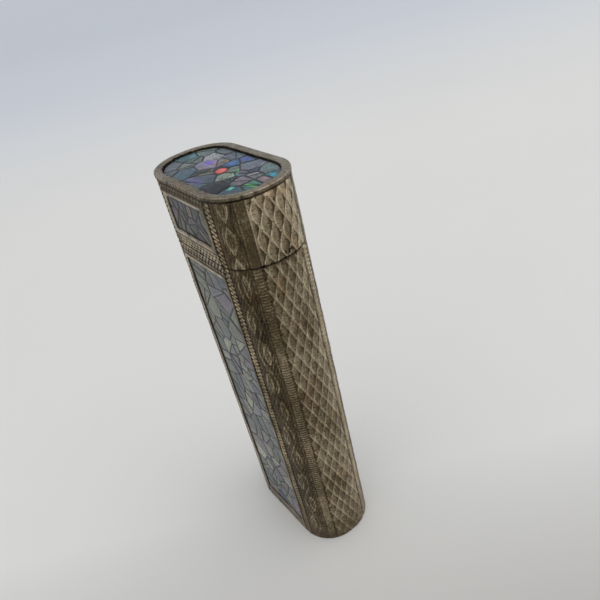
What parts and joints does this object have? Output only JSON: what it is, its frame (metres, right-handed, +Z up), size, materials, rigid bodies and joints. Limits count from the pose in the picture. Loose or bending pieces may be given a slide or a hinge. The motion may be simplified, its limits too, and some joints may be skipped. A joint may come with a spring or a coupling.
{
  "type": "lipstick case",
  "caption": "Oval pull-cap lipstick case of engraved aged silver with shell mosaic panels, and a ring under the cap that raises the stick.",
  "frame": {"origin": "centre of the base, on the surface that the case stands on", "axes": "+X across the wide side of the oval, +Y through the case from the front panel to the back panel, +Z up towards the cap"},
  "size_m": [0.03, 0.0162, 0.0857],
  "materials": {
    "engraved_silver": "aged silver plate over nickel brass, hand engraved, tarnished in the cuts",
    "bezel_silver": "worn bright silver plate",
    "rim_silver": "polished flat silver rim with fine scratches",
    "shell_mosaic": "iridescent blue-grey shell chips in dark resin, polished",
    "inner_silver": "satin silver plate, unengraved",
    "gilt_brass": "satin gilt brass",
    "plain_steel": "bare satin metal",
    "lipstick_red": "soft waxy sheen"
  },
  "bodies": {
    "case": {"case_shell": "engraved_silver", "base_plate": "engraved_silver", "front_inlay": "shell_mosaic", "back_inlay": "shell_mosaic", "front_bezel": "bezel_silver", "back_bezel": "bezel_silver", "cap_collar": "inner_silver", "spiral_tube": "gilt_brass", "mechanism_cradle": "plain_steel"},
    "neck": {"turning_ring": "gilt_brass", "guide_tube": "gilt_brass", "retaining_ring": "plain_steel"},
    "carrier": {"stick_cup": "gilt_brass", "drive_lugs": "plain_steel", "lipstick": "lipstick_red"},
    "cap": {"cap_shell": "engraved_silver", "top_frame": "rim_silver", "top_inlay": "shell_mosaic", "top_tray": "inner_silver", "cap_front_inlay": "shell_mosaic", "cap_back_inlay": "shell_mosaic", "cap_front_bezel": "bezel_silver", "cap_back_bezel": "bezel_silver"}
  },
  "joints": [
    {"name": "cap_lift", "type": "slide", "parent": "case", "child": "cap", "axis": [0, 0, 1], "range_m": [0, 0.03]},
    {"name": "neck_turn", "type": "hinge", "parent": "case", "child": "neck", "pos_m": [0, 0, 0.076], "axis": [0, 0, 1], "range_deg": [0, 480]},
    {"name": "stick_rise", "type": "slide", "parent": "neck", "child": "carrier", "axis": [0, 0, 1], "range_m": [0, 0.016]}
  ],
  "couplings": [
    {"joint": "stick_rise", "follows": "neck_turn", "m_per_rad": 0.0019099}
  ]
}
